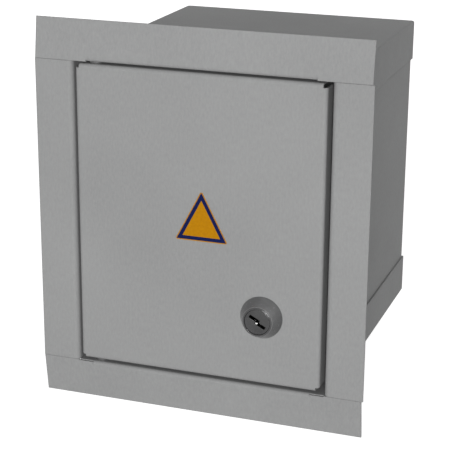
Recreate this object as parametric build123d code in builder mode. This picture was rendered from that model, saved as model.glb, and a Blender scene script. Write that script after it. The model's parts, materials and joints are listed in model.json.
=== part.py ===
"""Flush-mounted sheet-steel electrical enclosure with a pan door and a quarter-turn lock.

The part stands as it hangs in its wall: +Z is up, +Y points out of its back and +X to the
right seen from the front. The origin is the centre of the four wall screws, on the outer
face of the back wall. All lengths are in millimetres and angles in degrees.
"""

import os
from math import cos, radians, sin, sqrt

from build123d import *

os.makedirs("parts", exist_ok=True)

# Box and front frame
frame_width = 190.0
frame_height = 220.0
depth = 180.0  # from the front of the frame to the outer face of the back wall
side_strip = 22.0  # width of the left and right strips of the frame
end_strip = 22.5  # width of the top and bottom strips
strip_step_left = 0.1  # the side strips reach this much further out than the ends of the others
strip_step_right = 0.9
sheet = 1.0
frame_bend = 2.0  # inside radius of the bend from a side strip into its wall
end_bend = 1.0  # the same for the top and bottom strips
tight_bend = 0.1  # inside radius of the bends of the tabs
seam_gap = 0.1  # between the wrap's edges and the top and bottom sheets
relief_length = 8.2  # bend relief at each end of the top and bottom strips
relief_slot = 0.4  # between a strip and its wall at the reliefs
bottom_relief = 0.4  # the bottom strip's inner edge is cut back by this much in its reliefs
strip_lean = 3.0  # the outer edges of the top and bottom strips lie this much further back
tab_width = 22.5  # side and rear tabs of the top and bottom sheets
tab_start = 3.6  # the side tabs start this far behind the front
rear_notch = 0.6  # the tabs leave each rear corner open by this much

# Wall fixing and cable entries
wall_hole_radius = 2.75
wall_hole_from_side = 23.0  # from the side walls
wall_hole_past_tab = 10.0  # from the edges of the rear tabs
knockout_radius = 10.2
knockout_spacing = 62.0
knockout_from_back = 80.0
knockout_groove = 0.8
knockout_groove_depth = 0.5

# Door
door_left_gap = 1.7
door_right_gap = 2.7
door_top_gap = 1.3
door_bottom_gap = 1.9
door_fold = 12.0
door_bend = 1.2  # inside radius
corner_notch = 2.25

# Hinges
hinge_inset = 10.4  # axis from the door's left edge
hinge_depth = 7.0  # axis behind the door's front
pin_radius = 2.5
pin_clearance = 0.05
pin_reach = 6.0  # past the door's folded edge
pin_head_radius = 3.9
pin_head_height = 1.6
hinge_washer_radius = 4.6
washer_play = 0.1

# Lock
lock_from_edge = 33.5  # axis from the door's right edge
lock_from_bottom = 39.5  # axis from the door's bottom edge
head_radius = 12.0
head_rim = 0.8
head_height = 8.0
face_radius = 8.3
head_edge = 0.5
barrel_radius = 8.0
barrel_flat = 7.2  # half the width over the barrel's two flats
barrel_clearance = 0.1
plug_radius = 7.3
plug_thickness = 3.2
plug_clearance = 0.05
plug_setback = 0.25  # the plug's face lies this far inside the head's
shank_radius = 5.5
keyway_length = 10.8
keyway_width = 1.9
keyway_step = 1.4
keyway_angle = -28.0
keyway_depth = 9.0
lock_nut_flats = 22.0
lock_nut_height = 3.5
cam_thickness = 2.0
cam_length = 33.5
cam_width = 12.0
cam_hub_radius = 9.0
cam_square = 6.0
cam_square_clearance = 0.05
cam_screw_radius = 2.0
cam_screw_length = 7.0
cam_screw_head_radius = 4.0
cam_screw_head_height = 2.6
cam_washer_radius = 6.0
cam_washer_thickness = 1.0

# Strike
strike_gap = 4.0  # behind the door's folded edge
strike_reach = 6.5
strike_foot = 13.0
strike_height = 30.0
strike_bend = 0.8
cam_gap = 0.4  # between the strike and the cam

# Sticker
sticker_width = 30.3
sticker_height = 28.7
sticker_corner = 0.8
sticker_thickness = 0.2
sticker_x = 1.8
sticker_z = 2.9

# Inner cover
cover_setback = 40.0  # behind the front of the frame
cover_gap = 1.0
cover_fold = 8.0
window_width = 110.0
window_height = 46.0
cover_bracket_from_end = 27.5  # from the top and bottom walls
cover_bracket_lip = 16.0
cover_bracket_foot = 14.0
cover_screw_from_wall = 8.0
cover_screw_from_end = 10.0  # from the brackets' ends
cover_screw_radius = 2.0
cover_screw_length = 10.0
cover_screw_head_radius = 4.0
cover_screw_head_height = 2.4

# Rail
rail_behind_cover = 50.0  # rail front behind the front of the inner cover
rail_end_gap = 10.5  # from the rail's ends to the side walls
rail_width = 35.0
rail_height = 7.5
rail_crown = 25.0  # clear width inside the trough
rail_bend = 0.8
rail_slot_length = 15.0
rail_slot_width = 5.4
rail_slot_count = 5
rail_end_margin = 12.5  # from the rail's ends to its screws and end slots
rail_bracket_flange = 8.0  # the flange reaches this far to each side of its screw
rail_bracket_foot = 12.0
rail_bracket_height = 30.0
rail_screw_radius = 2.5
rail_screw_length = 10.0
rail_screw_head_radius = 4.5
rail_screw_head_height = 2.8
rail_nut_flats = 8.0
rail_nut_height = 4.0

# Terminal bars
bar_length = 70.0
bar_depth = 8.0
bar_height = 7.0
bar_from_wall = 25.5  # from the top and bottom walls to the middle of the bars
bar_hole_radius = 2.2
bar_hole_pitch = 7.0
bar_hole_count = 7
bar_end_screw_x = 30.0
clamp_screw_radius = 1.75
clamp_head_radius = 2.7
clamp_head_height = 1.6
holder_width = 88.0
holder_height = 14.0
holder_corner = 2.0
holder_base = 3.0
holder_post_inset = 1.0
holder_post_width = 8.0
holder_post_height = 18.0
holder_screw_x = 39.5
holder_screw_radius = 1.75
holder_head_radius = 3.2
holder_head_height = 2.0
end_screw_radius = 1.5
end_screw_length = 14.0
end_head_radius = 2.8
end_head_height = 2.0

# Earth points
box_stud_radius = 3.0
box_stud_length = 14.0
box_stud_from_side = 23.0
box_stud_from_back = 15.0
box_nut_flats = 10.0
box_nut_height = 5.0
box_washer_radius = 6.0
box_washer_thickness = 1.2
door_stud_radius = 2.5
door_stud_length = 10.0
door_stud_from_edge = 21.3  # from the door's left edge
door_stud_from_bottom = 15.6  # from the door's bottom edge
door_nut_flats = 8.0
door_nut_height = 4.0
door_washer_radius = 5.0
door_washer_thickness = 1.0

# Shared fits
thread_clearance = 0.05
slot_depth = 1.0  # driver slots in screw heads
slot_width = 0.9
fine_edge = 0.4  # edges of nuts and screw heads

# Places that follow from the sizes above
front_y = -depth
opening_width = frame_width - 2 * side_strip
opening_height = frame_height - 2 * end_strip
wall_x = opening_width / 2  # inner face of the side walls
wall_z = opening_height / 2  # inner face of the top and bottom walls
wrap_half_height = wall_z - seam_gap
tab_x = wall_x + sheet  # inner face of the side tabs
wall_hole_x = wall_x - wall_hole_from_side
wall_hole_z = wall_z - tab_width - wall_hole_past_tab

door_left = -wall_x + door_left_gap
door_right = wall_x - door_right_gap
door_top = wall_z - door_top_gap
door_bottom = -wall_z + door_bottom_gap
door_height = door_top - door_bottom
door_back = front_y + sheet
fold_back = front_y + door_fold

hinge_x = door_left + hinge_inset
hinge_y = front_y + hinge_depth
lock_x = door_right - lock_from_edge
lock_z = door_bottom + lock_from_bottom
door_stud_x = door_left + door_stud_from_edge
door_stud_z = door_bottom + door_stud_from_bottom

strike_front = fold_back + strike_gap
strike_back = strike_front + sheet
cam_front = strike_back + cam_gap
cam_back = cam_front + cam_thickness
barrel_back = cam_front - plug_clearance * 4

cover_front = front_y + cover_setback
cover_back = cover_front + sheet
cover_bracket_top = wall_z - cover_bracket_from_end
cover_screw_x = wall_x - cover_screw_from_wall
cover_screw_z = cover_bracket_top - cover_screw_from_end

rail_half_length = wall_x - rail_end_gap
rail_screw_x = rail_half_length - rail_end_margin
rail_front = cover_front + rail_behind_cover
rail_back = rail_front + rail_height
flange_back = rail_back + sheet
wall_inside = -sheet
bar_z = wall_z - bar_from_wall  # neutral bar above the middle, earth bar below


def front_plane(x, y, z):
    """Plane that faces the viewer, with its x to the right and its y up."""
    return Plane(origin=(x, y, z), x_dir=(1, 0, 0), z_dir=(0, -1, 0))


def turning_plane(x, y, z):
    """Plane for a section that is turned round an axis to the front: x is the radius, y the way out."""
    return Plane(origin=(x, y, z), x_dir=(1, 0, 0), z_dir=(0, 0, -1))


def front_axis(x, y, z):
    """Axis that points at the viewer."""
    return Axis((x, y, z), (0, -1, 0))


def folded_section(points, radii, thickness=sheet):
    """Section of a bent sheet. The line runs along one face with the sheet on its left."""
    with BuildSketch() as section:
        with BuildLine():
            FilletPolyline(*points, radius=radii)
            offset(amount=thickness, side=Side.LEFT)
        make_face()
    return section.sketch


def hexagon_radius(flats):
    """Corner radius of a hexagon from its width over the flats."""
    return flats / sqrt(3)


def front_screw(x, y, z, radius, length, head_radius, head_height):
    """Slotted screw with a chamfered head, its head on the plane at y and its shank behind it."""
    with BuildPart() as screw:
        with BuildSketch(turning_plane(x, y, z)):
            with BuildLine():
                Polyline(
                    (0, -length),
                    (radius, -length),
                    (radius, 0),
                    (head_radius, 0),
                    (head_radius, head_height - fine_edge),
                    (head_radius - fine_edge, head_height),
                    (0, head_height),
                    close=True,
                )
            make_face()
        revolve(axis=front_axis(x, y, z))
        with BuildSketch(front_plane(x, y - head_height, z)):
            Rectangle(2 * head_radius + 1, slot_width)
        extrude(amount=-slot_depth, mode=Mode.SUBTRACT)
    return screw.part


def hex_nut(plane, flats, height, bore):
    """Hexagon nut that stands on a plane, with its outer corners turned off."""
    with BuildPart() as nut:
        with BuildSketch(plane):
            RegularPolygon(radius=hexagon_radius(flats), side_count=6)
            Circle(bore, mode=Mode.SUBTRACT)
        extrude(amount=height)
        with BuildSketch(plane.offset(height)):
            Circle(hexagon_radius(flats) + fine_edge)
            Circle(flats / 2, mode=Mode.SUBTRACT)
        extrude(amount=-fine_edge, taper=60, mode=Mode.SUBTRACT)
    return nut.part


def flat_washer(plane, radius, bore, thickness):
    """Plain washer that stands on a plane."""
    with BuildPart() as washer:
        with BuildSketch(plane):
            Circle(radius)
            Circle(bore, mode=Mode.SUBTRACT)
        extrude(amount=thickness)
    return washer.part


# Body wrap: left strip, left wall, back wall, right wall and right strip from one sheet
wrap_line = [
    (-frame_width / 2, front_y),
    (-wall_x, front_y),
    (-wall_x, wall_inside),
    (wall_x, wall_inside),
    (wall_x, front_y),
    (frame_width / 2, front_y),
]
outer_frame_bend = frame_bend + sheet
with BuildPart() as body_wrap:
    with BuildSketch(Plane.XY.offset(-wrap_half_height)):
        add(folded_section(wrap_line, [outer_frame_bend, sheet, sheet, outer_frame_bend]))
    extrude(amount=2 * wrap_half_height)
    with Locations(front_plane(0, wall_inside, 0)):
        with GridLocations(2 * wall_hole_x, 2 * wall_hole_z, 2, 2):
            Hole(wall_hole_radius, depth=sheet)
body_wrap.part.label = "body_wrap"
export_step(body_wrap.part, "parts/body_wrap.step")

# Top sheet: leaning strip, wall, rear tab and two side tabs, cut free at the ends of the front bend
strip_line = [(front_y + strip_lean, wall_z + end_strip), (front_y, wall_z)]
front_line = strip_line + [(front_y + depth / 2, wall_z)]
rear_line = [(front_y + depth / 2, wall_z), (0, wall_z), (0, wall_z - tab_width)]
side_line = [
    (-tab_x, wall_z - tab_width),
    (-tab_x, wall_z),
    (tab_x, wall_z),
    (tab_x, wall_z - tab_width),
]
bend_half_width = wall_x - relief_length
rear_half_width = tab_x - rear_notch
strip_left = -frame_width / 2 + strip_step_left
strip_length = frame_width - strip_step_left - strip_step_right
outer_end_bend = end_bend + sheet
side_tab_length = depth - tab_start - rear_notch
relief_front = front_y + sheet + relief_slot
relief_tongue = front_y + tab_start - relief_front
relief_pitch = 2 * wall_x - relief_length
with BuildPart() as top_panel:
    with BuildSketch(Plane.YZ.offset(strip_left)):
        with BuildLine():
            Line(*strip_line)
            offset(amount=sheet, side=Side.LEFT)
        make_face()
    extrude(amount=strip_length)
    with BuildSketch(front_plane(0, front_y - sheet, wall_z)):
        Rectangle(2 * bend_half_width, 2 * outer_end_bend)
    extrude(amount=-(strip_lean + 3 * sheet), mode=Mode.SUBTRACT)
    with BuildSketch(Plane.YZ.offset(-bend_half_width)):
        add(folded_section(front_line, [outer_end_bend]))
    extrude(amount=2 * bend_half_width)
    with BuildSketch(Plane.YZ.offset(-rear_half_width)):
        add(folded_section(rear_line, [tight_bend]))
    extrude(amount=2 * rear_half_width)
    with BuildSketch(Plane.XZ.offset(rear_notch)):
        add(folded_section(side_line, [tight_bend, tight_bend]))
    extrude(amount=side_tab_length)
    with BuildSketch(Plane((0, relief_front + relief_tongue / 2, wall_z))):
        with GridLocations(relief_pitch, 1, 2, 1):
            Rectangle(relief_length, relief_tongue)
    extrude(amount=sheet)
    with Locations((hinge_x, hinge_y, wall_z + sheet)):
        Hole(pin_radius + pin_clearance, depth=2 * sheet)
top_panel.part.label = "top_panel"
export_step(top_panel.part, "parts/top_panel.step")

# Bottom sheet: the top sheet mirrored, with deeper reliefs and two knockouts cut half through from outside
with BuildPart() as bottom_panel:
    mirror(top_panel.part, about=Plane.XY)
    with BuildSketch(front_plane(0, front_y - sheet, -wall_z)):
        with GridLocations(relief_pitch, 1, 2, 1):
            Rectangle(relief_length, 2 * bottom_relief)
    extrude(amount=-(2 * sheet + relief_slot / 2), mode=Mode.SUBTRACT)
    with BuildSketch(Plane(origin=(0, -knockout_from_back, -wall_z - sheet), z_dir=(0, 0, -1))):
        with GridLocations(knockout_spacing, 1, 2, 1):
            Circle(knockout_radius + knockout_groove)
            Circle(knockout_radius, mode=Mode.SUBTRACT)
    extrude(amount=-knockout_groove_depth, mode=Mode.SUBTRACT)
bottom_panel.part.label = "bottom_panel"
export_step(bottom_panel.part, "parts/bottom_panel.step")

# Door: a pan with four folded edges that stop short of each corner
door_line_across = [
    (door_right - sheet, fold_back),
    (door_right - sheet, door_back),
    (door_left + sheet, door_back),
    (door_left + sheet, fold_back),
]
door_line_up = [
    (fold_back, door_bottom + sheet),
    (door_back, door_bottom + sheet),
    (door_back, door_top - sheet),
    (fold_back, door_top - sheet),
]
with BuildPart() as door:
    with BuildSketch(Plane.XY.offset(door_bottom + corner_notch)):
        add(folded_section(door_line_across, [door_bend, door_bend]))
    extrude(amount=door_height - 2 * corner_notch)
    with BuildSketch(Plane.YZ.offset(door_left + corner_notch)):
        add(folded_section(door_line_up, [door_bend, door_bend]))
    extrude(amount=door_right - door_left - 2 * corner_notch)
    with Locations((hinge_x, hinge_y, door_top)):
        Hole(pin_radius + pin_clearance)
    with BuildSketch(front_plane(lock_x, front_y, lock_z)):
        Circle(barrel_radius + barrel_clearance)
        Rectangle(2 * (barrel_flat + barrel_clearance), 4 * barrel_radius, mode=Mode.INTERSECT)
    extrude(amount=-sheet, mode=Mode.SUBTRACT)
door.part.label = "door"
export_step(door.part, "parts/door.step")

# Sticker: a thin triangle with rounded corners
with BuildPart() as door_sticker:
    with BuildSketch(front_plane(sticker_x, front_y, sticker_z)) as sticker_outline:
        with BuildLine():
            Polyline(
                (-sticker_width / 2, -sticker_height / 3),
                (sticker_width / 2, -sticker_height / 3),
                (0, sticker_height * 2 / 3),
                close=True,
            )
        make_face()
        fillet(sticker_outline.vertices(), radius=sticker_corner)
    extrude(amount=sticker_thickness)
door_sticker.part.label = "door_sticker"
export_step(door_sticker.part, "parts/door_sticker.step")

# Hinge pins: round rods riveted into the top and bottom walls
pin_inner_end = door_top - sheet - pin_reach
pin_outside = wall_z + sheet
with BuildPart() as hinge_pin_upper:
    with BuildSketch(Plane.XZ.offset(-hinge_y)):
        with BuildLine():
            Polyline(
                (hinge_x, pin_inner_end),
                (hinge_x + pin_radius - fine_edge, pin_inner_end),
                (hinge_x + pin_radius, pin_inner_end + fine_edge),
                (hinge_x + pin_radius, pin_outside),
                (hinge_x + pin_head_radius, pin_outside),
                (hinge_x + pin_head_radius, pin_outside + pin_head_height - 2 * fine_edge),
                (hinge_x + pin_head_radius - 2 * fine_edge, pin_outside + pin_head_height),
                (hinge_x, pin_outside + pin_head_height),
                close=True,
            )
        make_face()
    revolve(axis=Axis((hinge_x, hinge_y, 0), (0, 0, 1)))
hinge_pin_upper.part.label = "hinge_pin_upper"
export_step(hinge_pin_upper.part, "parts/hinge_pin_upper.step")

with BuildPart() as hinge_pin_lower:
    mirror(hinge_pin_upper.part, about=Plane.XY)
hinge_pin_lower.part.label = "hinge_pin_lower"
export_step(hinge_pin_lower.part, "parts/hinge_pin_lower.step")

# Hinge washers: they fill the gaps above and below the door and carry its weight
with BuildPart() as hinge_washers:
    with BuildSketch(Plane((hinge_x, hinge_y, door_top + washer_play))):
        Circle(hinge_washer_radius)
        Circle(pin_radius + pin_clearance, mode=Mode.SUBTRACT)
    extrude(amount=door_top_gap - washer_play)
    with BuildSketch(Plane((hinge_x, hinge_y, -wall_z))):
        Circle(hinge_washer_radius)
        Circle(pin_radius + pin_clearance, mode=Mode.SUBTRACT)
    extrude(amount=door_bottom_gap - washer_play)
hinge_washers.part.label = "hinge_washers"
export_step(hinge_washers.part, "parts/hinge_washers.step")

# Lock housing: cone-shaped head outside the door and threaded barrel with two flats behind it
lock_at = (lock_x, front_y, lock_z)
barrel_length = barrel_back - front_y
recess_depth = plug_thickness + plug_setback + plug_clearance
with BuildPart() as lock_housing:
    with BuildSketch(turning_plane(*lock_at)) as housing_section:
        with BuildLine():
            Polyline(
                (shank_radius + plug_clearance, -barrel_length),
                (barrel_radius, -barrel_length),
                (barrel_radius, 0),
                (head_radius, 0),
                (head_radius, head_rim),
                (face_radius, head_height),
                (plug_radius + plug_clearance, head_height),
                (plug_radius + plug_clearance, head_height - recess_depth),
                (shank_radius + plug_clearance, head_height - recess_depth),
                close=True,
            )
        make_face()
        outer_corners = housing_section.vertices().group_by(Axis.Y)[-1]
        chamfer(outer_corners.sort_by(Axis.X)[-1], length=head_edge)
    revolve(axis=front_axis(*lock_at))
    with BuildSketch(front_plane(lock_x, front_y, lock_z)):
        Circle(2 * barrel_radius)
        Rectangle(2 * barrel_flat, 5 * barrel_radius, mode=Mode.SUBTRACT)
    extrude(amount=-barrel_length, mode=Mode.SUBTRACT)
lock_housing.part.label = "lock_housing"
export_step(lock_housing.part, "parts/lock_housing.step")

# Lock nut on the barrel, against the door's inner face
back_plane = Plane(origin=(lock_x, door_back, lock_z), x_dir=(-1, 0, 0), z_dir=(0, 1, 0))
with BuildPart() as lock_nut:
    add(hex_nut(back_plane, lock_nut_flats, lock_nut_height, barrel_radius + thread_clearance))
lock_nut.part.label = "lock_nut"
export_step(lock_nut.part, "parts/lock_nut.step")

# Lock plug: disc with a Z-shaped keyway, round shank, and a square end for the cam
disc_front = head_height - plug_setback
disc_back = disc_front - plug_thickness
shank_end = front_y - cam_front
square_end = front_y - cam_back
keyway_bar = (keyway_length + keyway_width) / 2
keyway_shift = (keyway_length - keyway_width) / 4
key_plane = Plane(
    origin=(lock_x, front_y - disc_front, lock_z),
    x_dir=(cos(radians(keyway_angle)), 0, sin(radians(keyway_angle))),
    z_dir=(0, -1, 0),
)
with BuildPart() as lock_plug:
    with BuildSketch(turning_plane(*lock_at)) as plug_section:
        with BuildLine():
            Polyline(
                (0, shank_end),
                (shank_radius, shank_end),
                (shank_radius, disc_back),
                (plug_radius, disc_back),
                (plug_radius, disc_front - fine_edge / 2),
                (plug_radius - fine_edge / 2, disc_front),
                (0, disc_front),
                close=True,
            )
        make_face()
    revolve(axis=front_axis(*lock_at))
    with BuildSketch(front_plane(lock_x, cam_front, lock_z)):
        Rectangle(cam_square, cam_square)
    extrude(amount=square_end - shank_end)
    with BuildSketch(front_plane(lock_x, cam_back, lock_z)):
        Circle(cam_screw_radius + thread_clearance)
    extrude(amount=cam_screw_length, mode=Mode.SUBTRACT)
    with BuildSketch(key_plane):
        with Locations((-keyway_shift, keyway_step / 2), (keyway_shift, -keyway_step / 2)):
            Rectangle(keyway_bar, keyway_width)
    extrude(amount=-keyway_depth, mode=Mode.SUBTRACT)
lock_plug.part.label = "lock_plug"
export_step(lock_plug.part, "parts/lock_plug.step")

# Cam: a flat lever with a square hole, hanging down while the door is unlocked
with BuildPart() as lock_cam:
    with BuildSketch(front_plane(lock_x, cam_back, lock_z)):
        Circle(cam_hub_radius)
        with Locations((0, -(cam_length - cam_width / 2) / 2)):
            Rectangle(cam_width, cam_length - cam_width / 2)
        with Locations((0, -(cam_length - cam_width / 2))):
            Circle(cam_width / 2)
        Rectangle(
            cam_square + 2 * cam_square_clearance,
            cam_square + 2 * cam_square_clearance,
            mode=Mode.SUBTRACT,
        )
    extrude(amount=cam_thickness)
lock_cam.part.label = "lock_cam"
export_step(lock_cam.part, "parts/lock_cam.step")

# Washer and screw that hold the cam on its square
cam_plane = Plane(origin=(lock_x, cam_back, lock_z), x_dir=(-1, 0, 0), z_dir=(0, 1, 0))
with BuildPart() as cam_washer:
    add(flat_washer(cam_plane, cam_washer_radius, cam_screw_radius + thread_clearance, cam_washer_thickness))
cam_washer.part.label = "cam_washer"
export_step(cam_washer.part, "parts/cam_washer.step")

with BuildPart() as cam_screw:
    with BuildSketch(cam_plane.offset(cam_washer_thickness)):
        Circle(cam_screw_head_radius)
    extrude(amount=cam_screw_head_height)
    chamfer(cam_screw.edges().group_by(Axis.Y)[-1], length=fine_edge)
    with BuildSketch(cam_plane.offset(cam_washer_thickness)):
        Circle(cam_screw_radius)
    extrude(amount=-(cam_screw_length + cam_washer_thickness - fine_edge))
    with BuildSketch(cam_plane.offset(cam_washer_thickness + cam_screw_head_height)):
        Rectangle(3 * cam_screw_head_radius, slot_width)
    extrude(amount=-slot_depth, mode=Mode.SUBTRACT)
cam_screw.part.label = "cam_screw"
export_step(cam_screw.part, "parts/cam_screw.step")

# Strike: folded lip on the right wall, in front of the cam when it points to the right
strike_line = [
    (wall_x - sheet, strike_back + strike_foot),
    (wall_x - sheet, strike_back),
    (wall_x - strike_reach, strike_back),
]
with BuildPart() as lock_strike:
    with BuildSketch(Plane.XY.offset(lock_z - strike_height / 2)):
        add(folded_section(strike_line, [strike_bend]))
    extrude(amount=strike_height)
lock_strike.part.label = "lock_strike"
export_step(lock_strike.part, "parts/lock_strike.step")

# Cover brackets: angles on the side walls, with tapped holes for the cover's screws
bracket_line = [
    (wall_x - sheet, cover_back + sheet + cover_bracket_foot),
    (wall_x - sheet, cover_back + sheet),
    (wall_x - cover_bracket_lip, cover_back + sheet),
]
with BuildPart() as cover_bracket_right:
    with BuildSketch(Plane.XY.offset(-cover_bracket_top)):
        add(folded_section(bracket_line, [strike_bend]))
    extrude(amount=2 * cover_bracket_top)
    with Locations(front_plane(cover_screw_x, cover_back, 0)):
        with GridLocations(1, 2 * cover_screw_z, 1, 2):
            Hole(cover_screw_radius + thread_clearance, depth=2 * sheet)
cover_bracket_right.part.label = "cover_bracket_right"
export_step(cover_bracket_right.part, "parts/cover_bracket_right.step")

with BuildPart() as cover_bracket_left:
    mirror(cover_bracket_right.part, about=Plane.YZ)
cover_bracket_left.part.label = "cover_bracket_left"
export_step(cover_bracket_left.part, "parts/cover_bracket_left.step")

# Inner cover: folded top and bottom, with a window for the fronts of the devices
cover_half_width = wall_x - cover_gap
cover_top = wall_z - cover_gap
cover_line = [
    (cover_front + cover_fold, -cover_top + sheet),
    (cover_back, -cover_top + sheet),
    (cover_back, cover_top - sheet),
    (cover_front + cover_fold, cover_top - sheet),
]
with BuildPart() as inner_cover:
    with BuildSketch(Plane.YZ.offset(-cover_half_width)):
        add(folded_section(cover_line, [sheet, sheet]))
    extrude(amount=2 * cover_half_width)
    with BuildSketch(front_plane(0, cover_front, 0)):
        RectangleRounded(window_width, window_height, radius=sheet)
        with GridLocations(2 * cover_screw_x, 2 * cover_screw_z, 2, 2):
            Circle(cover_screw_radius + 2 * thread_clearance)
    extrude(amount=-sheet, mode=Mode.SUBTRACT)
inner_cover.part.label = "inner_cover"
export_step(inner_cover.part, "parts/inner_cover.step")

with BuildPart() as cover_screws:
    for x in (-cover_screw_x, cover_screw_x):
        for z in (-cover_screw_z, cover_screw_z):
            add(
                front_screw(
                    x,
                    cover_front,
                    z,
                    cover_screw_radius,
                    cover_screw_length,
                    cover_screw_head_radius,
                    cover_screw_head_height,
                )
            )
cover_screws.part.label = "cover_screws"
export_step(cover_screws.part, "parts/cover_screws.step")

# Rail: slotted top-hat section, its two edges to the front
crown_back = rail_back - sheet
rail_line = [
    (rail_front, rail_width / 2),
    (rail_front, rail_crown / 2),
    (crown_back, rail_crown / 2),
    (crown_back, -rail_crown / 2),
    (rail_front, -rail_crown / 2),
    (rail_front, -rail_width / 2),
]
outer_rail_bend = rail_bend + sheet
rail_slot_pitch = 2 * rail_screw_x / (rail_slot_count - 1)
with BuildPart() as din_rail:
    with BuildSketch(Plane.YZ.offset(-rail_half_length)):
        add(folded_section(rail_line, [outer_rail_bend, rail_bend, rail_bend, outer_rail_bend]))
    extrude(amount=2 * rail_half_length)
    with BuildSketch(front_plane(0, crown_back, 0)):
        with GridLocations(rail_slot_pitch, 1, rail_slot_count, 1):
            SlotOverall(rail_slot_length, rail_slot_width)
    extrude(amount=-sheet, mode=Mode.SUBTRACT)
din_rail.part.label = "din_rail"
export_step(din_rail.part, "parts/din_rail.step")

# Rail brackets: Z-shaped stand-offs, welded by their feet to the back wall
bracket_leg = -rail_screw_x - rail_bracket_flange + sheet
rail_bracket_line = [
    (-rail_screw_x + rail_bracket_flange, flange_back),
    (bracket_leg, flange_back),
    (bracket_leg, wall_inside),
    (bracket_leg - sheet - rail_bracket_foot, wall_inside),
]
with BuildPart() as rail_bracket_left:
    with BuildSketch(Plane.XY.offset(-rail_bracket_height / 2)):
        add(folded_section(rail_bracket_line, [sheet, 2 * sheet]))
    extrude(amount=rail_bracket_height)
    with Locations(front_plane(-rail_screw_x, rail_back, 0)):
        Hole(rail_screw_radius + thread_clearance, depth=2 * sheet)
rail_bracket_left.part.label = "rail_bracket_left"
export_step(rail_bracket_left.part, "parts/rail_bracket_left.step")

with BuildPart() as rail_bracket_right:
    mirror(rail_bracket_left.part, about=Plane.YZ)
rail_bracket_right.part.label = "rail_bracket_right"
export_step(rail_bracket_right.part, "parts/rail_bracket_right.step")

with BuildPart() as rail_screws:
    for x in (-rail_screw_x, rail_screw_x):
        add(
            front_screw(
                x,
                crown_back,
                0,
                rail_screw_radius,
                rail_screw_length,
                rail_screw_head_radius,
                rail_screw_head_height,
            )
        )
rail_screws.part.label = "rail_screws"
export_step(rail_screws.part, "parts/rail_screws.step")

with BuildPart() as rail_nuts:
    for x in (-rail_screw_x, rail_screw_x):
        nut_plane = Plane(origin=(x, flange_back, 0), x_dir=(0, 0, 1), z_dir=(0, 1, 0))
        add(hex_nut(nut_plane, rail_nut_flats, rail_nut_height, rail_screw_radius + thread_clearance))
rail_nuts.part.label = "rail_nuts"
export_step(rail_nuts.part, "parts/rail_nuts.step")

# Terminal bars on insulating feet: neutral above the rail, earth below it
bar_back = wall_inside - holder_post_height
bar_front = bar_back - bar_depth
holder_front = wall_inside - holder_base


def bar_holder(z):
    """Insulating foot: a base on the back wall and two posts that carry the bar."""
    with BuildPart() as holder:
        with BuildSketch(front_plane(0, wall_inside, z)):
            RectangleRounded(holder_width, holder_height, radius=holder_corner)
        extrude(amount=holder_base)
        with BuildSketch(front_plane(0, holder_front, z)):
            with GridLocations(2 * bar_end_screw_x, 1, 2, 1):
                Rectangle(holder_post_width, holder_height - 2 * holder_post_inset)
        extrude(amount=holder_post_height - holder_base)
        with BuildSketch(front_plane(0, bar_back, z)):
            with GridLocations(2 * bar_end_screw_x, 1, 2, 1):
                Circle(end_screw_radius + thread_clearance)
        extrude(amount=-end_screw_length, mode=Mode.SUBTRACT)
        with BuildSketch(front_plane(0, holder_front, z)):
            with GridLocations(2 * holder_screw_x, 1, 2, 1):
                Circle(holder_screw_radius + thread_clearance)
        extrude(amount=-holder_base, mode=Mode.SUBTRACT)
    return holder.part


def terminal_bar(z):
    """Square bar with wire holes from below and a clamp-screw hole from the front to each."""
    with BuildPart() as bar:
        with BuildSketch(front_plane(0, bar_back, z)):
            Rectangle(bar_length, bar_height)
        extrude(amount=bar_depth)
        with BuildSketch(front_plane(0, bar_front, z)):
            with GridLocations(bar_hole_pitch, 1, bar_hole_count, 1):
                Circle(clamp_screw_radius + thread_clearance)
        extrude(amount=-bar_depth / 2, mode=Mode.SUBTRACT)
        with BuildSketch(front_plane(0, bar_front, z)):
            with GridLocations(2 * bar_end_screw_x, 1, 2, 1):
                Circle(end_screw_radius + thread_clearance)
        extrude(amount=-bar_depth, mode=Mode.SUBTRACT)
        with BuildSketch(Plane((0, (bar_front + bar_back) / 2, z - bar_height / 2))):
            with GridLocations(bar_hole_pitch, 1, bar_hole_count, 1):
                Circle(bar_hole_radius)
        extrude(amount=bar_height, mode=Mode.SUBTRACT)
    return bar.part


def clamp_screws(z):
    """Row of screws in the bar, each ending at its wire hole."""
    reach = bar_depth / 2 - bar_hole_radius
    with BuildPart() as row:
        for place in GridLocations(bar_hole_pitch, 1, bar_hole_count, 1).local_locations:
            x = place.position.X
            add(
                front_screw(
                    x,
                    bar_front,
                    z,
                    clamp_screw_radius,
                    reach,
                    clamp_head_radius,
                    clamp_head_height,
                )
            )
    return row.part


with BuildPart() as neutral_bar_holder:
    add(bar_holder(bar_z))
neutral_bar_holder.part.label = "neutral_bar_holder"
export_step(neutral_bar_holder.part, "parts/neutral_bar_holder.step")

with BuildPart() as neutral_bar:
    add(terminal_bar(bar_z))
neutral_bar.part.label = "neutral_bar"
export_step(neutral_bar.part, "parts/neutral_bar.step")

with BuildPart() as neutral_bar_screws:
    add(clamp_screws(bar_z))
neutral_bar_screws.part.label = "neutral_bar_screws"
export_step(neutral_bar_screws.part, "parts/neutral_bar_screws.step")

with BuildPart() as earth_bar_holder:
    add(bar_holder(-bar_z))
earth_bar_holder.part.label = "earth_bar_holder"
export_step(earth_bar_holder.part, "parts/earth_bar_holder.step")

with BuildPart() as earth_bar:
    add(terminal_bar(-bar_z))
earth_bar.part.label = "earth_bar"
export_step(earth_bar.part, "parts/earth_bar.step")

with BuildPart() as earth_bar_screws:
    add(clamp_screws(-bar_z))
earth_bar_screws.part.label = "earth_bar_screws"
export_step(earth_bar_screws.part, "parts/earth_bar_screws.step")

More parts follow.
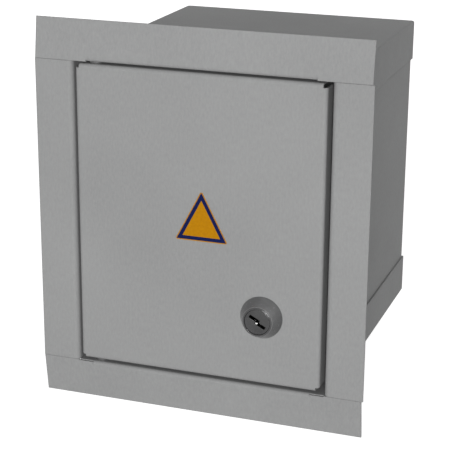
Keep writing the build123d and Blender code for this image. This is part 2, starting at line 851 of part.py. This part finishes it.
# Screws through the bars' ends, and self-tapping screws through the feet into the back wall
with BuildPart() as bar_end_screws:
    for z in (-bar_z, bar_z):
        for x in (-bar_end_screw_x, bar_end_screw_x):
            add(
                front_screw(
                    x,
                    bar_front,
                    z,
                    end_screw_radius,
                    end_screw_length,
                    end_head_radius,
                    end_head_height,
                )
            )
bar_end_screws.part.label = "bar_end_screws"
export_step(bar_end_screws.part, "parts/bar_end_screws.step")

with BuildPart() as holder_screws:
    for z in (-bar_z, bar_z):
        for x in (-holder_screw_x, holder_screw_x):
            add(
                front_screw(
                    x,
                    holder_front,
                    z,
                    holder_screw_radius,
                    holder_base,
                    holder_head_radius,
                    holder_head_height,
                )
            )
holder_screws.part.label = "holder_screws"
export_step(holder_screws.part, "parts/holder_screws.step")

# Earth point of the box: stud welded to the bottom wall, with washer and nut
box_stud_plane = Plane((wall_x - box_stud_from_side, -box_stud_from_back, -wall_z))
with BuildPart() as earth_stud:
    with BuildSketch(box_stud_plane):
        Circle(box_stud_radius)
    extrude(amount=box_stud_length)
    chamfer(earth_stud.edges().group_by(Axis.Z)[-1], length=fine_edge)
earth_stud.part.label = "earth_stud"
export_step(earth_stud.part, "parts/earth_stud.step")

with BuildPart() as earth_washer:
    add(
        flat_washer(
            box_stud_plane,
            box_washer_radius,
            box_stud_radius + thread_clearance,
            box_washer_thickness,
        )
    )
earth_washer.part.label = "earth_washer"
export_step(earth_washer.part, "parts/earth_washer.step")

with BuildPart() as earth_nut:
    add(
        hex_nut(
            box_stud_plane.offset(box_washer_thickness),
            box_nut_flats,
            box_nut_height,
            box_stud_radius + thread_clearance,
        )
    )
earth_nut.part.label = "earth_nut"
export_step(earth_nut.part, "parts/earth_nut.step")

# Earth point of the door: stud welded to its inner face
door_stud_plane = Plane(
    origin=(door_stud_x, door_back, door_stud_z), x_dir=(-1, 0, 0), z_dir=(0, 1, 0)
)
with BuildPart() as door_stud:
    with BuildSketch(door_stud_plane):
        Circle(door_stud_radius)
    extrude(amount=door_stud_length)
    chamfer(door_stud.edges().group_by(Axis.Y)[-1], length=fine_edge)
door_stud.part.label = "door_stud"
export_step(door_stud.part, "parts/door_stud.step")

with BuildPart() as door_washer:
    add(
        flat_washer(
            door_stud_plane,
            door_washer_radius,
            door_stud_radius + thread_clearance,
            door_washer_thickness,
        )
    )
door_washer.part.label = "door_washer"
export_step(door_washer.part, "parts/door_washer.step")

with BuildPart() as door_nut:
    add(
        hex_nut(
            door_stud_plane.offset(door_washer_thickness),
            door_nut_flats,
            door_nut_height,
            door_stud_radius + thread_clearance,
        )
    )
door_nut.part.label = "door_nut"
export_step(door_nut.part, "parts/door_nut.step")
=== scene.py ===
import json
import math

import bmesh
import bpy
from mathutils import Matrix, Vector


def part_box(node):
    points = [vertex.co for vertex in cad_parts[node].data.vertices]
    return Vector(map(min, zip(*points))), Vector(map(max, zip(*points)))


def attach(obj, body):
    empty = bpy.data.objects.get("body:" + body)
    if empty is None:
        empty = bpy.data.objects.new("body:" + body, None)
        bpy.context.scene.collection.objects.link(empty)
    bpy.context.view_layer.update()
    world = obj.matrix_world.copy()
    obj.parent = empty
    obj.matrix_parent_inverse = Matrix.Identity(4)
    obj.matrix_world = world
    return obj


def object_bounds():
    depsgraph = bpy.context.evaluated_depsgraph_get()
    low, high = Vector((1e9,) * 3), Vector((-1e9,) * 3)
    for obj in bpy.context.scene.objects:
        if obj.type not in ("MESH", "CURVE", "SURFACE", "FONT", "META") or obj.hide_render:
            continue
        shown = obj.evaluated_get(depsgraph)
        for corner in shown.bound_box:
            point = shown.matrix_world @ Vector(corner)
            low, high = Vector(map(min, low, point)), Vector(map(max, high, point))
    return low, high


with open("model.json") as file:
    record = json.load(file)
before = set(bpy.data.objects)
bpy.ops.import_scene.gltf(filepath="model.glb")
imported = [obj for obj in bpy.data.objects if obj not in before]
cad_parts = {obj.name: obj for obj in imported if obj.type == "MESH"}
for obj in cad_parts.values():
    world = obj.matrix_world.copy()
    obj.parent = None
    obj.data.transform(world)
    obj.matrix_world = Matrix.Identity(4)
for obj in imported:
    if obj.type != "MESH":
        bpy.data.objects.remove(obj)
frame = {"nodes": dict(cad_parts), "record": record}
cad_low, cad_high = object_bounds()
nodes = frame["nodes"]
scene = bpy.context.scene

# Lengths are in metres, and the scale of a noise is in features per metre.

# Colours
grey_dark, grey_light = (0.262, 0.264, 0.264), (0.370, 0.372, 0.372)
# Near black for the lock's plated face: a painted dark reflection, not the plating's own colour
painted_reflection_black = (0.085, 0.085, 0.086)
amber_dark, amber_light = (0.44, 0.185, 0.0), (0.50, 0.220, 0.0)
ink_dark, ink_light = (0.0, 0.004, 0.052), (0.0, 0.007, 0.072)
floor_dark, floor_light = (0.56, 0.56, 0.56), (0.60, 0.60, 0.60)

# Sticker: the triangle before its corners are rounded, and the distance from its edge to the
# border's two lines, each blurred over line_blur
sticker_width = 0.0303
sticker_height = 0.0287
border_start = 0.0005
border_end = 0.00255
line_blur = 0.0001

# Lock: the head is painted near black from face_line forward, a painted dark reflection on its
# plated face, blurred over the same distance both ways
face_line = -0.1876
face_blur = 0.0001

# Wafers in the keyway: place along it, wall that the wafer stands on, depth behind the plug's face
keyway_angle = -28.0
wafers = ((-0.0001, -1, 0.0006), (-0.0016, 1, 0.0040), (0.0017, -1, 0.0060))
wafer_width = 0.0013
wafer_thickness = 0.0005
wafer_height = 0.0010
wafer_bevel = 0.00014
wall_distance = 0.00165  # from the keyway's middle line to the wafers' feet

# Floor
floor_reach = 60.0
floor_gap = 0.0002  # under the frame's lowest edge
glow_near, glow_far = 0.88, 1.0
glow_start, glow_end = 0.45, 1.6  # distances from the origin between which the glow rises

# Light: place, edge length and level of each lamp
ambient = 0.31
object_middle = Vector((0.0, -0.09, 0.0))
lamps = {
    "key": (Vector((1.00, -4.40, 0.70)), 1.4, 0.74),
    "fill": (Vector((-2.3, 2.4, -0.05)), 0.9, 0.55),
}

# Camera at the photograph's place: angles in degrees, lens in millimetres
azimuth, elevation, roll = 19.44, 18.23, 0.38
camera_distance = 0.8946
camera_aim = Vector((-0.0164, -0.09, -0.0271))
lens = 118.02


# Small helpers for node trees
def new_material(name):
    """Empty material with a principled shader wired to its output."""
    made = bpy.data.materials.new(name)
    made.use_nodes = True
    tree = made.node_tree
    tree.nodes.clear()
    output = tree.nodes.new("ShaderNodeOutputMaterial")
    shader = tree.nodes.new("ShaderNodeBsdfPrincipled")
    tree.links.new(shader.outputs[0], output.inputs[0])
    return made, tree, shader


def wire(tree, value, socket):
    """Links an output to a socket, or sets the socket to a colour or number."""
    if isinstance(value, bpy.types.NodeSocket):
        tree.links.new(value, socket)
    elif isinstance(value, tuple):
        socket.default_value = (*value, 1)
    else:
        socket.default_value = value


def calculate(tree, operation, *values):
    """Math node with outputs or numbers on its inputs."""
    node = tree.nodes.new("ShaderNodeMath")
    node.operation = operation
    for value, socket in zip(values, node.inputs):
        wire(tree, value, socket)
    return node.outputs[0]


def object_point(tree):
    return tree.nodes.new("ShaderNodeTexCoord").outputs["Object"]


def object_axis(tree, axis):
    """One of the three object coordinates."""
    node = tree.nodes.new("ShaderNodeSeparateXYZ")
    tree.links.new(object_point(tree), node.inputs[0])
    return node.outputs[axis]


def noise(tree, scale, detail=2.0, roughness=0.5, stretch=None):
    """Noise over the object coordinates, which stretch multiplies by three factors."""
    point = object_point(tree)
    if stretch:
        mapping = tree.nodes.new("ShaderNodeMapping")
        mapping.inputs["Scale"].default_value = stretch
        tree.links.new(point, mapping.inputs["Vector"])
        point = mapping.outputs["Vector"]
    node = tree.nodes.new("ShaderNodeTexNoise")
    node.inputs["Scale"].default_value = scale
    node.inputs["Detail"].default_value = detail
    node.inputs["Roughness"].default_value = roughness
    tree.links.new(point, node.inputs["Vector"])
    return node.outputs["Fac"]


def spread(tree, value, low, high, from_low=0.3, from_high=0.7):
    """Maps a value to a range. The first range is a noise's unless another is given."""
    node = tree.nodes.new("ShaderNodeMapRange")
    node.inputs["From Min"].default_value = from_low
    node.inputs["From Max"].default_value = from_high
    node.inputs["To Min"].default_value = low
    node.inputs["To Max"].default_value = high
    tree.links.new(value, node.inputs["Value"])
    return node.outputs["Result"]


def blend(tree, share, first, second):
    """Mixes two colours, each an output or a constant."""
    node = tree.nodes.new("ShaderNodeMix")
    node.data_type = "RGBA"
    tree.links.new(share, node.inputs[0])
    wire(tree, first, node.inputs[6])
    wire(tree, second, node.inputs[7])
    return node.outputs[2]


def bump(tree, shader, height, strength, distance, rounding=None):
    """Bump from a height value, over edges that catch the light as if slightly rounded."""
    node = tree.nodes.new("ShaderNodeBump")
    node.inputs["Strength"].default_value = strength
    node.inputs["Distance"].default_value = distance
    tree.links.new(height, node.inputs["Height"])
    if rounding:
        soft = tree.nodes.new("ShaderNodeBevel")
        soft.samples = 6
        soft.inputs["Radius"].default_value = rounding
        tree.links.new(soft.outputs["Normal"], node.inputs["Normal"])
    tree.links.new(node.outputs["Normal"], shader.inputs["Normal"])


def painted(name, dark, light):
    """Satin powder paint: fine orange peel, faint clouding and a slightly uneven gloss."""
    made, tree, shader = new_material(name)
    grain = noise(tree, scale=850.0, detail=3.0, roughness=0.7, stretch=(1.0, 1.0, 0.4))
    cloud = spread(tree, noise(tree, scale=14.0, detail=3.0), low=-0.07, high=0.16)
    tone = calculate(tree, "MULTIPLY_ADD", grain, 0.9, cloud)
    gloss = spread(tree, noise(tree, scale=70.0, detail=3.0), low=0.51, high=0.54)
    peel = noise(tree, scale=620.0, detail=3.0, roughness=0.55)
    wire(tree, blend(tree, tone, dark, light), shader.inputs["Base Color"])
    wire(tree, gloss, shader.inputs["Roughness"])
    shader.inputs["Specular IOR Level"].default_value = 0.06
    bump(tree, shader, peel, strength=0.3, distance=0.00012, rounding=0.0007)
    return made


def plated(name, dark, light, smooth, rough, streaks=(1.0, 1.0, 1.0), face=None):
    """Plated metal with fine drawn lines and a patchy gloss, painted near black from face forward
    as a painted dark reflection.
    """
    made, tree, shader = new_material(name)
    patches = spread(tree, noise(tree, scale=55.0, detail=4.0, roughness=0.6), low=0.0, high=1.0)
    lines = noise(tree, scale=900.0, detail=3.0, roughness=0.65, stretch=streaks)
    colour = blend(tree, patches, dark, light)
    # From face forward the colour is a painted dark reflection
    if face:
        front = spread(tree, object_axis(tree, "Y"), 1.0, 0.0, face - face_blur, face + face_blur)
        colour = blend(tree, front, colour, painted_reflection_black)
    wire(tree, colour, shader.inputs["Base Color"])
    wire(tree, spread(tree, lines, smooth, rough), shader.inputs["Roughness"])
    shader.inputs["Metallic"].default_value = 1.0
    bump(tree, shader, lines, strength=0.12, distance=0.00005, rounding=0.0003)
    return made


def moulded(name, dark, light):
    """Moulded plastic: fine spark-eroded grain with a soft gloss."""
    made, tree, shader = new_material(name)
    patches = spread(tree, noise(tree, scale=40.0, detail=3.0), low=0.0, high=1.0)
    gloss = spread(tree, noise(tree, scale=220.0), low=0.38, high=0.5)
    wire(tree, blend(tree, patches, dark, light), shader.inputs["Base Color"])
    wire(tree, gloss, shader.inputs["Roughness"])
    shader.inputs["Specular IOR Level"].default_value = 0.5
    bump(tree, shader, noise(tree, scale=2200.0), strength=0.25, distance=0.00005, rounding=0.0003)
    return made


def printed_triangle(name, middle_x, base_z, width, height):
    """Film with an amber field, a dark-blue border and a thin amber margin outside it."""
    made, tree, shader = new_material(name)
    slant = math.hypot(height, width / 2)
    across = calculate(tree, "SUBTRACT", object_axis(tree, "X"), middle_x)
    inside = calculate(tree, "SUBTRACT", object_axis(tree, "Z"), base_z)
    lift = calculate(tree, "MULTIPLY", inside, width / 2 / slant)
    for side in (-1, 1):
        slope = calculate(tree, "MULTIPLY", across, side * height / slant)
        reach = calculate(tree, "ADD", slope, lift)
        distance = calculate(tree, "SUBTRACT", height * width / 2 / slant, reach)
        inside = calculate(tree, "MINIMUM", inside, distance)
    begun, ended = (
        spread(tree, inside, 0.0, 1.0, line - line_blur / 2, line + line_blur / 2)
        for line in (border_start, border_end)
    )
    border = calculate(tree, "SUBTRACT", begun, ended)
    mottle = spread(tree, noise(tree, scale=700.0, detail=3.0), low=0.0, high=1.0)
    field = blend(tree, mottle, amber_dark, amber_light)
    ink = blend(tree, mottle, ink_dark, ink_light)
    wire(tree, blend(tree, border, field, ink), shader.inputs["Base Color"])
    wire(tree, spread(tree, mottle, 0.34, 0.42, 0.0, 1.0), shader.inputs["Roughness"])
    shader.inputs["Specular IOR Level"].default_value = 0.12
    bump(tree, shader, noise(tree, scale=900.0), strength=0.08, distance=0.00005)
    return made


def seen_share(tree):
    """1 for rays from the camera and for reflections, 0 for light that falls on things."""
    path = tree.nodes.new("ShaderNodeLightPath").outputs
    mirrored = calculate(tree, "MAXIMUM", path["Is Camera Ray"], path["Is Glossy Ray"])
    return calculate(tree, "MAXIMUM", mirrored, path["Is Transmission Ray"])


def floor_finish():
    """Pale floor that shines white to the camera but keeps shadows, and is clear from below."""
    made = bpy.data.materials.new("floor")
    made.use_nodes = True
    tree = made.node_tree
    tree.nodes.clear()
    output = tree.nodes.new("ShaderNodeOutputMaterial")
    cover = tree.nodes.new("ShaderNodeBsdfDiffuse")
    glow = tree.nodes.new("ShaderNodeEmission")
    both = tree.nodes.new("ShaderNodeAddShader")
    clear = tree.nodes.new("ShaderNodeBsdfTransparent")
    sided = tree.nodes.new("ShaderNodeMixShader")
    below = tree.nodes.new("ShaderNodeNewGeometry").outputs["Backfacing"]
    length = tree.nodes.new("ShaderNodeVectorMath")
    length.operation = "LENGTH"
    tree.links.new(object_point(tree), length.inputs[0])
    rise = spread(tree, length.outputs["Value"], glow_near, glow_far, glow_start, glow_end)
    pale = blend(tree, noise(tree, scale=3.0), floor_dark, floor_light)
    wire(tree, pale, cover.inputs["Color"])
    wire(tree, calculate(tree, "MULTIPLY", rise, seen_share(tree)), glow.inputs["Strength"])
    tree.links.new(cover.outputs[0], both.inputs[0])
    tree.links.new(glow.outputs[0], both.inputs[1])
    tree.links.new(below, sided.inputs[0])
    tree.links.new(both.outputs[0], sided.inputs[1])
    tree.links.new(clear.outputs[0], sided.inputs[2])
    tree.links.new(sided.outputs[0], output.inputs[0])
    return made


# Finishes of the CAD nodes
sticker_low, sticker_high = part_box("door_sticker")
sticker_middle = (sticker_low.x + sticker_high.x) / 2
finishes = {
    "painted_grey": painted("paint", grey_dark, grey_light),
    "chrome_lock": plated(
        "lock_plating_and_painted_reflection", (0.24, 0.24, 0.243), (0.34, 0.34, 0.343), 0.16, 0.28, face=face_line
    ),
    "zinc_steel": plated("zinc", (0.30, 0.305, 0.31), (0.44, 0.445, 0.44), 0.28, 0.46),
    "brass": plated("brass", (0.62, 0.43, 0.17), (0.74, 0.55, 0.25), 0.20, 0.34, (0.08, 1.0, 1.0)),
    "neutral_plastic": moulded("blue_plastic", (0.035, 0.13, 0.46), (0.05, 0.17, 0.54)),
    "earth_plastic": moulded("green_plastic", (0.10, 0.32, 0.06), (0.14, 0.40, 0.09)),
    # The hinge spacers are darker than their own grey plastic: painted shade for the hinge gaps
    "spacer_plastic": moulded("grey_plastic_painted_shade", (0.06, 0.06, 0.06), (0.09, 0.09, 0.09)),
    "sticker_film": printed_triangle(
        "film", sticker_middle, sticker_low.z, sticker_width, sticker_height
    ),
}
# The lock plug's near-black plating is a painted dark reflection on a plated plug
plug_painted_reflection = plated("plug_plating_painted_reflection", (0.055, 0.055, 0.056), (0.085, 0.085, 0.086), 0.20, 0.34)
wafer_finish = plated("wafer_steel", (0.62, 0.62, 0.61), (0.78, 0.78, 0.77), 0.12, 0.22)

for part in frame["record"]["subparts"]:
    if part["node"] in nodes:
        finish = plug_painted_reflection if part["node"] == "lock_plug" else finishes[part["material_slot"]]
        mesh = nodes[part["node"]].data
        mesh.materials.clear()
        mesh.materials.append(finish)

# Wafers in the keyway: three small steel plates on alternate walls, one behind the other
plug_low, plug_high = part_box("lock_plug")
plug_face = Vector(((plug_low.x + plug_high.x) / 2, plug_low.y, (plug_low.z + plug_high.z) / 2))
lean = math.radians(keyway_angle)
along = Vector((math.cos(lean), 0, math.sin(lean)))
inward = Vector((0, 1, 0))
upward = Vector((-math.sin(lean), 0, math.cos(lean)))
turned = Matrix((along, inward, upward)).transposed().to_4x4()
wafer_scale = Matrix.Diagonal((wafer_width, wafer_thickness, wafer_height, 1))
wafer_shapes = bmesh.new()
for place, wall, depth in wafers:
    rise = wall * (wall_distance - wafer_height / 2)
    centre = plug_face + along * place + inward * depth + upward * rise
    matrix = Matrix.Translation(centre) @ turned @ wafer_scale
    shape = bmesh.ops.create_cube(wafer_shapes, size=1.0, matrix=matrix)
    bmesh.ops.bevel(
        wafer_shapes,
        geom=list({edge for vert in shape["verts"] for edge in vert.link_edges}),
        offset=wafer_bevel,
        segments=3,
        affect="EDGES",
        profile=0.5,
    )
wafer_mesh = bpy.data.meshes.new("lock_wafers")
wafer_shapes.to_mesh(wafer_mesh)
wafer_shapes.free()
for face in wafer_mesh.polygons:
    face.use_smooth = True
wafer_mesh.materials.append(wafer_finish)
lock_wafers = bpy.data.objects.new("lock_wafers", wafer_mesh)
scene.collection.objects.link(lock_wafers)
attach(lock_wafers, "lock_plug")

# Floor: white to the camera, with the object's soft shadow
floor_z = cad_low.z - floor_gap
corners = [
    (across * floor_reach, back * floor_reach, floor_z)
    for across, back in ((-1, -1), (1, -1), (1, 1), (-1, 1))
]
floor_mesh = bpy.data.meshes.new("floor")
floor_mesh.from_pydata(corners, [], [(0, 1, 2, 3)])
floor_mesh.materials.append(floor_finish())
floor = bpy.data.objects.new("floor", floor_mesh)
scene.collection.objects.link(floor)

# White surroundings, dimmer where they only light the object
world = bpy.data.worlds.new("studio")
scene.world = world
world.use_nodes = True
tree = world.node_tree
tree.nodes.clear()
output = tree.nodes.new("ShaderNodeOutputWorld")
sky = tree.nodes.new("ShaderNodeBackground")
sky.inputs["Color"].default_value = (1, 1, 1, 1)
wire(tree, spread(tree, seen_share(tree), ambient, 1.0, 0.0, 1.0), sky.inputs["Strength"])
tree.links.new(sky.outputs[0], output.inputs[0])

# Square lamps, the key in front and a fill behind on the left. A surface that faces one renders
# its colour times the lamp's level.
for name, (place, size, level) in lamps.items():
    ray = object_middle - place
    light = bpy.data.lights.new(name, "AREA")
    light.shape = "SQUARE"
    light.size = size
    light.energy = level * math.pi ** 2 * ray.length ** 2
    lamp = bpy.data.objects.new(name, light)
    lamp.location = place
    lamp.rotation_mode = "QUATERNION"
    lamp.rotation_quaternion = ray.to_track_quat("-Z", "Y")
    scene.collection.objects.link(lamp)

# Camera
side_angle, height_angle, tilt = (math.radians(angle) for angle in (azimuth, elevation, roll))
toward_camera = Vector(
    (
        math.sin(side_angle) * math.cos(height_angle),
        -math.cos(side_angle) * math.cos(height_angle),
        math.sin(height_angle),
    )
)
level_right = Vector((0, 0, 1)).cross(toward_camera).normalized()
level_up = toward_camera.cross(level_right)
right = level_right * math.cos(tilt) + level_up * math.sin(tilt)
up = level_up * math.cos(tilt) - level_right * math.sin(tilt)
pose = Matrix((right, up, toward_camera)).transposed().to_4x4()
pose.translation = camera_aim + toward_camera * camera_distance
camera_data = bpy.data.cameras.new("camera")
camera_data.lens = lens
camera_data.sensor_width = 36.0
camera_data.clip_start = 0.01
camera_data.clip_end = 50.0
camera = bpy.data.objects.new("camera", camera_data)
scene.collection.objects.link(camera)
camera.matrix_world = pose
scene.camera = camera
scene.view_settings.view_transform = "Standard"
